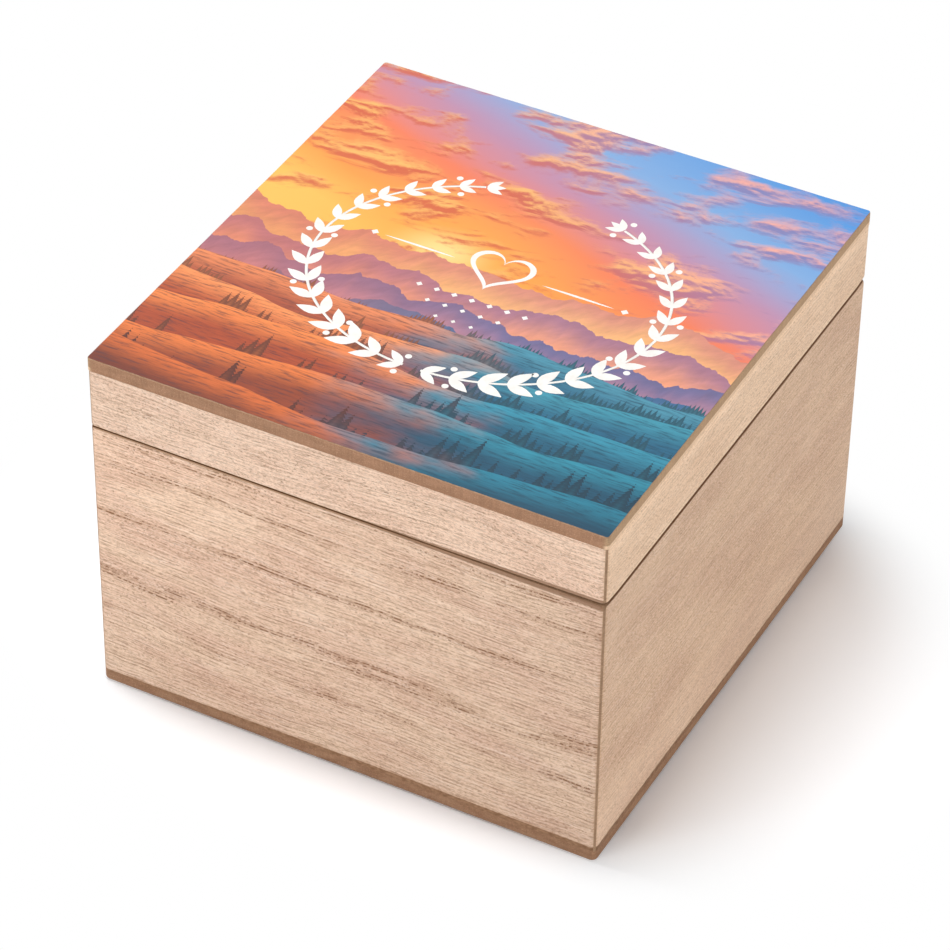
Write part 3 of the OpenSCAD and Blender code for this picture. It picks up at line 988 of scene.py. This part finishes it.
def quarter_round(radius, inset, height, up):
    """Rounds the edge of a profile that ends at a height, as (inset, height) from the side to the face."""
    turns = (0, *between(0, pi / 2, RIM_STEPS))
    return [(inset + radius * (1 - cos(t)), height - up * radius * (1 - sin(t))) for t in turns]


def flat_ink(name, outlines, finish):
    """Closed outlines in millimetres, each filled and given the thickness of the ink."""
    points, faces = [], []
    for outline in outlines:
        loops = [[(x, y, height) for x, y in outline] for height in (PRINT_TOP - INK, PRINT_TOP)]
        more_points, more_faces = loft(loops)
        faces += [[len(points) + i for i in face] for face in more_faces]
        points += more_points
    return mesh_piece(name, points, faces, [finish])


def heart_emblem(finish):
    """A heart in outline, a tapered rule and a diamond on either side of it, and rows of small diamonds."""
    count = 64

    def heart(width, lift):
        scale = width / 32
        turns = [2 * pi * i / count for i in range(count)]
        across = [16 * sin(t) ** 3 for t in turns]
        along = [13 * cos(t) - 5 * cos(2 * t) - 2 * cos(3 * t) - cos(4 * t) for t in turns]
        return [(x * scale, lift + y * scale) for x, y in zip(across, along)]

    def diamond(x, y, size):
        return [(x - size, y), (x, y - size), (x + size, y), (x, y + size)]

    def rule(start, end, y, thick):
        steps = [i / 12 for i in range(1, 12)]
        upper = [(start + (end - start) * t, y + thick / 2 * sin(pi * t) ** 0.6) for t in steps]
        lower = [(px, 2 * y - py) for px, py in upper]
        return [(start, y), *lower, (end, y), *upper[::-1]]

    outer, inner = heart(HEART_WIDTH, HEART_LIFT), heart(HEART_HOLLOW_WIDTH, HEART_HOLLOW_LIFT)
    outlines = []
    for i in range(count):
        j = (i + 1) % count
        outlines.append([outer[i], outer[j], inner[j], inner[i]])
    for hand in (-1, 1):
        outlines.append(rule(hand * RULE_START, hand * RULE_END, RULE_LIFT, RULE_THICKNESS))
        outlines.append(diamond(hand * SIDE_DIAMOND_PLACE, RULE_LIFT, SIDE_DIAMOND))
    for row, (in_row, size) in enumerate(DIAMOND_ROWS):
        for i in range(in_row):
            x = (i - (in_row - 1) / 2) * DIAMOND_GAP
            outlines.append(diamond(x, DIAMOND_ROWS_LIFT - DIAMOND_GAP * row, size))
    return flat_ink("print_emblem", outlines, finish)


# Repeated things, made with Geometry Nodes


class Pattern(Graph):
    """A Geometry Nodes tree with named inputs, which it sets on a modifier of the piece that it makes."""

    def __init__(self, name):
        super().__init__(bpy.data.node_groups.new(name, "GeometryNodeTree"))
        for way in ("INPUT", "OUTPUT"):
            self.tree.interface.new_socket("Geometry", in_out=way, socket_type="NodeSocketGeometry")
        self.given = []
        self.entry = self.tree.nodes.new("NodeGroupInput")

    def size(self, name, value, kind="NodeSocketFloat"):
        """A named input, with the value that it has on this piece."""
        socket = self.tree.interface.new_socket(name, in_out="INPUT", socket_type=kind)
        self.given.append((socket.identifier, value))
        return Value(self, self.entry.outputs[name])

    def joined(self, parts):
        made = self.tree.nodes.new("GeometryNodeJoinGeometry")
        for part in parts:
            self.tree.links.new(part.output, made.inputs[0])
        return Value(self, made.outputs[0])

    def turned(self, x, y, z):
        """A turn about the three axes, one after the other."""
        return self.node("FunctionNodeEulerToRotation", {0: self.vector(x, y, z)})

    def disc(self, sides, radius, thickness):
        sockets = {"Vertices": sides, "Side Segments": 1, "Radius": radius, "Depth": thickness}
        return self.node("GeometryNodeMeshCylinder", sockets, "Mesh", fill_type="NGON")

    def row_of_two(self, gap, y=0.0, z=0.0):
        """Two points a gap apart along X, about the middle."""
        sockets = {"Count": 2, "Start Location": self.vector(gap / -2, y, z), "Offset": self.vector(gap, 0.0)}
        return self.node("GeometryNodeMeshLine", sockets)

    def set_places(self, shape, place):
        return self.node("GeometryNodeSetPosition", {"Geometry": shape, "Position": place})

    def transformed(self, shape, how, amount):
        return self.node("GeometryNodeTransform", {"Geometry": shape, how: amount})

    def copies(self, points, shape, **sockets):
        return self.node("GeometryNodeInstanceOnPoints", {"Points": points, "Instance": shape, **sockets})

    def piece(self, name, finish, shape, start=None):
        """Realizes the shape, gives it its finish, and bakes it into a plain mesh piece."""
        material = self.size("Finish", finish, "NodeSocketMaterial")
        real = self.node("GeometryNodeRealizeInstances", {0: shape})
        painted = self.node("GeometryNodeSetMaterial", {"Geometry": real, "Material": material})
        self.node("NodeGroupOutput", {0: painted})
        piece = placed(name, start or bpy.data.meshes.new(name))
        modifier = piece.modifiers.new("pattern", "NODES")
        modifier.node_group = self.tree
        for identifier, value in self.given:
            modifier[identifier] = value
        return baked(piece)


def laurel_wreath(finish):
    """Two leafy branches in white ink that rise from the lid's front and leave the wreath open behind."""
    wreath = Pattern("laurel wreath")
    reach_x = wreath.size("Reach X", 40.0 * MM)
    reach_y = wreath.size("Reach Y", 34.0 * MM)
    sweep = wreath.size("Sweep", radians(152))
    count = wreath.size("Leaf Pairs", 17, "NodeSocketInt")
    leaf_length = wreath.size("Leaf Length", 7.2 * MM)
    leaf_width = wreath.size("Leaf Width", 2.5 * MM)
    leaf_angle = wreath.size("Leaf Angle", radians(34))
    stem = wreath.size("Stem Width", 0.7 * MM)
    berry = wreath.size("Berry Radius", 0.75 * MM)
    berry_angle = wreath.size("Berry Angle", radians(82))
    ink = wreath.size("Ink Thickness", INK * MM)
    top = wreath.size("Print Height", PRINT_TOP * MM)

    branches = []
    for hand in (1, -1):
        start = radians(-90 + 3 * hand)
        sockets = {"Resolution": 96, "Radius": 1.0, "Start Angle": start, "Sweep Angle": sweep * hand}
        branches.append(wreath.node("GeometryNodeCurveArc", sockets, mode="RADIUS"))
    ovals = wreath.transformed(wreath.joined(branches), "Scale", wreath.vector(reach_x, reach_y, 1.0))
    sockets = {"Curve": ovals, "Count": count}
    pair_points = wreath.node("GeometryNodeCurveToPoints", sockets, mode="COUNT")
    tangent = Value(wreath, pair_points.output.node.outputs["Tangent"])
    facing = wreath.node("FunctionNodeAlignRotationToVector", {"Vector": tangent}, axis="X")

    def aimed(angle):
        """The way of the stem, turned about Z."""
        sockets = {0: facing, 1: wreath.turned(0.0, 0.0, angle)}
        return wreath.node("FunctionNodeRotateRotation", sockets, rotation_space="LOCAL")

    index = wreath.node("GeometryNodeInputIndex")
    place = wreath.math("MODULO", index, count) / (count - 1)
    growth = (1.0 - place * 0.42) * (0.72 + place.step(0, 0.12) * 0.28)
    x, y, z = wreath.split(wreath.node("GeometryNodeInputPosition"))
    across = y * abs(y) * (1.15 - x * 0.35)
    leaf_place = wreath.vector((x + 1.12) * leaf_length / 2, across * leaf_width / 2, z * ink)
    leaf = wreath.set_places(wreath.disc(18, 1.0, 1.0), leaf_place)
    dot_place = wreath.vector(leaf_length * 0.42, 0.0)
    dot = wreath.transformed(wreath.disc(16, berry, ink), "Translation", dot_place)

    def leaves(turn, thickness, **chosen):
        """Leaves on the points. Sets that cross differ in thickness, as level faces would flicker there."""
        scale = wreath.vector(growth, growth, thickness)
        return wreath.copies(pair_points, leaf, Rotation=turn, Scale=scale, **chosen)

    parts = [leaves(aimed(leaf_angle), 1.0), leaves(aimed(leaf_angle * -1), 0.85)]
    parts.append(leaves(facing, 0.7, Selection=place.step(0.98, 0.999)))
    sockets = {0: wreath.math("MODULO", index, 3.0), 1: 0.5}
    third = wreath.node("FunctionNodeCompare", sockets, data_type="FLOAT", operation="LESS_THAN")
    for side in (1, -1):
        parts.append(wreath.copies(pair_points, dot, Rotation=aimed(berry_angle * side), Selection=third))

    sockets = {"Resolution": 6, "Radius": stem / 2}
    ring = wreath.node("GeometryNodeCurvePrimitiveCircle", sockets, "Curve")
    sockets = {"Curve": ovals, "Profile Curve": ring, "Fill Caps": True}
    stems = wreath.node("GeometryNodeCurveToMesh", sockets)
    parts.append(wreath.set_places(stems, wreath.vector(x, y, z / stem * ink * 0.5)))
    lift = wreath.vector(0.0, 0.0, top - ink / 2)
    whole = wreath.transformed(wreath.joined(parts), "Translation", lift)
    return wreath.piece("print_wreath", finish, whole)


# Hinges and screws


def eased(node, finish, ease):
    """A hinge piece with its arrises eased: a merged copy of the frame's node with a fine bevel."""
    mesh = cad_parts[node].data.copy()
    with edited(mesh) as work:
        merge(work)
        bmesh.ops.dissolve_limit(work, angle_limit=radians(1), verts=work.verts, edges=work.edges)
    paint(mesh, finish)
    piece = placed(f"{node}_eased", mesh)
    modified(piece, "BEVEL", width=ease * MM, segments=2, limit_method="ANGLE", angle_limit=radians(35))
    smooth(piece, 20)
    return piece


def screw_blank(head, length, finish):
    """A countersunk wood screw about Z with its head up at 0: a cross recess, a bare neck and a thread."""
    turns = [i / SCREW_SIDES for i in range(SCREW_SIDES)]

    def ring(height, radii):
        angles = [2 * pi * turn for turn in turns]
        return [(r * cos(a), r * sin(a), height) for r, a in zip(radii, angles)]

    loops = []
    for height, core, reach in RECESS:
        loops.append(ring(height, [core + reach * abs(cos(4 * pi * turn)) ** 6 for turn in turns]))
    neck_end = -HEAD_HEIGHT - NECK
    outline = [(head - inset, height) for inset, height in HEAD_EDGE]
    for radius, height in (*outline, (SHANK, -HEAD_HEIGHT), (SHANK, neck_end)):
        loops.append(ring(height, [radius] * SCREW_SIDES))
    thread_start = neck_end - THREAD_RAMP
    steps = round((length + thread_start) / THREAD_PITCH * THREAD_ROWS)
    for i in range(steps + 1):
        height = thread_start + (POINT_LENGTH - length - thread_start) * i / steps
        from_crest = [abs((height / THREAD_PITCH + turn) % 1 - 0.5) for turn in turns]
        crests = [max(0, 1 - away * THREAD_SHARPNESS) for away in from_crest]
        loops.append(ring(height, [THREAD_ROOT + (SHANK - THREAD_ROOT) * crest for crest in crests]))
    loops.append(ring(-length, [POINT_RADIUS] * SCREW_SIDES))
    return mesh_piece("screw_blank", *loft(loops), [finish])


def hinge_screws(name, node, finish, up):
    """The four screws of a body's leaves, each turned by its own angle, with heads at the leaves' faces."""
    low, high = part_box(node)
    leaf_low, leaf_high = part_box("hinge_right_base_leaf")
    head = (high.y - low.y) / 2
    hinge_x = (leaf_low.x + leaf_high.x) / 2
    blank = screw_blank(head / MM, (high.z - low.z) / MM, finish)
    blank_mesh = blank.data
    bpy.data.objects.remove(blank)

    screws = Pattern("hinge screws")
    shape = Value(screws, screws.entry.outputs["Geometry"])
    spread = screws.size("Hinge Spread", 2 * hinge_x)
    gap = screws.size("Screw Gap", 2 * (high.x - head - hinge_x))
    depth_line = screws.size("Line Of Screws", (low.y + high.y) / 2)
    face = screws.size("Head Height", low.z if up < 0 else high.z)
    flip = screws.size("Flip", pi if up < 0 else 0.0)
    pairs = screws.copies(screws.row_of_two(spread, depth_line, face), screws.row_of_two(gap))
    spots = screws.node("GeometryNodeRealizeInstances", {0: pairs})
    sockets = {"Min_001": 0.0, "Max_001": pi, "Seed": 7}
    chance = screws.node("FunctionNodeRandomValue", sockets, "Value_001", data_type="FLOAT")
    made = screws.copies(spots, shape, Rotation=screws.turned(flip, 0.0, chance))
    piece = screws.piece(name, finish, made, blank_mesh)
    smooth(piece, 35)
    return piece


# Stage


def paper_floor():
    """White floor, which shows whiter to the camera and in reflections than it lights the box.

    Round the box's shadow, what shows of it fades to plain white."""
    floor = Finish("white paper floor")
    lit = floor.node("ShaderNodeBsdfDiffuse", {"Color": (0.86, 0.86, 0.86, 1.0)})
    shown = floor.node("ShaderNodeBsdfDiffuse", {"Color": (1.13, 1.155, 1.19, 1.0)})
    white = floor.node("ShaderNodeEmission", {"Color": (1.0, 1.0, 1.0, 1.0), "Strength": 1.0})
    fade = floor.length(floor.x, floor.y * FADE_FLATNESS).step(FADE_START, FADE_END)
    faded = floor.node("ShaderNodeMixShader", {0: fade, 1: shown, 2: white})
    both = floor.node("ShaderNodeMixShader", {0: floor.seen_directly(), 1: lit, 2: faded})
    floor.node("ShaderNodeOutputMaterial", {"Surface": both})
    mesh = bpy.data.meshes.new("floor")
    corners = [(x * FLOOR_REACH, y * FLOOR_REACH, 0) for x, y in ((-1, -1), (1, -1), (1, 1), (-1, 1))]
    mesh.from_pydata(corners, [], [(0, 1, 2, 3)])
    mesh.materials.append(floor.material)
    placed("floor", mesh)


def softbox(name, direction, distance, width, height, power):
    """A softbox that faces the box from a direction."""
    light = bpy.data.lights.new(name, "AREA")
    lamp = placed(name, set_up(light, shape="RECTANGLE", size=width, size_y=height, energy=power))
    away = Vector(direction).normalized()
    lamp.location = Vector((0, 0, PRINT_TOP * MM / 2)) + away * distance
    lamp.rotation_euler = away.to_track_quat("Z", "Y").to_euler()


def studio():
    """World, softboxes and view settings."""
    world = bpy.data.worlds.new("studio")
    world.use_nodes = True
    room = Graph(world.node_tree)
    world.node_tree.nodes.clear()
    strength = WORLD_LIGHT + room.seen_directly() * (1 - WORLD_LIGHT)
    sky = room.node("ShaderNodeBackground", {"Color": (1.0, 1.0, 1.0, 1.0), "Strength": strength})
    room.node("ShaderNodeOutputWorld", {"Surface": sky})
    bpy.context.scene.world = world
    bpy.context.scene.view_settings.view_transform = "Standard"
    for name, setting in SOFTBOXES.items():
        softbox(name, *setting)


def photo_camera():
    """The camera at the photograph's place, distance and lens."""
    azimuth, elevation, roll = (radians(a) for a in (CAMERA_AZIMUTH, CAMERA_ELEVATION, CAMERA_ROLL))
    level = Matrix.Rotation(azimuth, 4, "Z") @ Matrix.Rotation(pi / 2 - elevation, 4, "X")
    turn = level @ Matrix.Rotation(roll, 4, "Z")
    middle = Vector((0, 0, PRINT_TOP / 2))
    place = middle + turn @ Vector((-CAMERA_OFFSET_RIGHT, -CAMERA_OFFSET_UP, CAMERA_DISTANCE))
    optics = bpy.data.cameras.new("camera")
    set_up(optics, sensor_width=SENSOR_MM, lens=FOCAL_PIXELS / PHOTO_PIXELS * SENSOR_MM)
    optics.clip_start, optics.clip_end = CLIP_METRES
    camera = placed("camera", optics)
    camera.matrix_world = Matrix.Translation(place * MM) @ turn
    bpy.context.scene.camera = camera


# Assembly


def dress(piece, body, slot, *nodes):
    """Makes a piece ride on a body and stand for the nodes that it replaces. slot is not used."""
    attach(piece, body)
    if nodes:
        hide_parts(*nodes)


def refinish(node, finish):
    """Gives a node of the frame its finish, with its shape as it is."""
    paint(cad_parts[node].data, finish)


def make_walls():
    """The mitred walls of the base and the rails of the lid."""
    core = bare_core()
    for body, far in (("base", BOTTOM_TOP), ("lid", RAIL_TOP)):
        for side in SIDES:
            run = "y" if side in ("left", "right") else "x"
            seed = WOODS[body][side][0]
            wood = veneer_finish(f"{side} veneer of the {body}", run, WOODS[body][side], True)
            lining_wood = (seed + LINING_SEED_STEP, *LINING)
            lining = veneer_finish(f"{side} lining of the {body}", run, lining_wood, False)
            skin = outer_veneer(f"{body}_{side}_sanded_veneer", side, far, seed, wood)
            middle = wall_core(f"{body}_{side}_sanded_core", side, far, seed, core)
            if side == "back":
                for piece in (skin, middle):
                    cut_out(piece, mortises(body))
                    smooth(piece, 40)
            dress(skin, body, f"{body}_veneer", f"{body}_{side}_outer_veneer")
            dress(middle, body, "wall_core", f"{body}_{side}_core")
            refinish(f"{body}_{side}_inner_veneer", lining)


def make_panels():
    """The bottom panel and the lid's panel with the printed sheet and its white ink."""
    edge = fibreboard_edge("sawn edge of the bottom panel", BOTTOM_EDGE, 0.0, BOTTOM_TOP)
    face = fibreboard_face("smooth face of the bottom panel", BOTTOM_FACE)
    foot = quarter_round(FOOT_RADIUS, 0, 0, -1)[::-1]
    profile = [*foot, (0, BOTTOM_TOP)]
    dents = [0.0] * len(foot) + [SHALLOW_DENT]
    bottom = panel("bottom_panel_sanded", profile, CORNER_RADIUS, 3.0, dents, edge, face)
    dress(bottom, "base", "bottom_board", "bottom_panel")

    edge = fibreboard_edge("sawn edge of the lid's panel", TOP_EDGE, RAIL_TOP, LID_PANEL_TOP, SIDE_LAP)
    face = fibreboard_face("smooth face of the lid's panel", TOP_FACE)
    rim = quarter_round(RIM_RADIUS, 0, LID_PANEL_TOP, 1)
    profile = [(0, RAIL_TOP), *rim]
    dents = [SHALLOW_DENT] + [PANEL_DENT] * len(rim)
    top = panel("top_panel_sanded", profile, PANEL_CORNER, 5.0, dents, edge, face)
    dress(top, "lid", "top_board", "top_panel")

    profile = [(SHEET_MARGIN, LID_PANEL_TOP), *quarter_round(SHEET_RADIUS, SHEET_MARGIN, PRINT_TOP - INK, 1)]
    dents = [PANEL_DENT] * len(profile)
    edge, face = sheet_edge_finish(), picture_finish()
    sheet = panel("top_print_sheet", profile, SHEET_CORNER, 5.0, dents, edge, face)
    dress(sheet, "lid", "printed_sheet", "top_print")
    ink = white_ink_finish()
    dress(laurel_wreath(ink), "lid", "printed_sheet")
    dress(heart_emblem(ink), "lid", "printed_sheet")


def make_hinges():
    """Two stop hinges with their pins and screws."""
    leaf_brass = brass_finish("satin brass of the leaves", *LEAF_BRASS)
    pin_brass = brass_finish("drawn brass of the pins", *PIN_BRASS)
    screw_brass = brass_finish("turned brass of the screws", *SCREW_BRASS)
    for hand in ("left", "right"):
        for body in ("base", "lid"):
            node = f"hinge_{hand}_{body}_leaf"
            dress(eased(node, leaf_brass, LEAF_BEVEL), body, "hinge_brass", node)
        node = f"hinge_{hand}_pin"
        dress(eased(node, pin_brass, PIN_BEVEL), "base", "pin_brass", node)
    for body, up in (("base", 1), ("lid", -1)):
        node = f"{body}_hinge_screws"
        dress(hinge_screws(f"{node}_threaded", node, screw_brass, up), body, "screw_brass", node)


photo_camera()
studio()
paper_floor()
make_walls()
make_panels()
make_hinges()
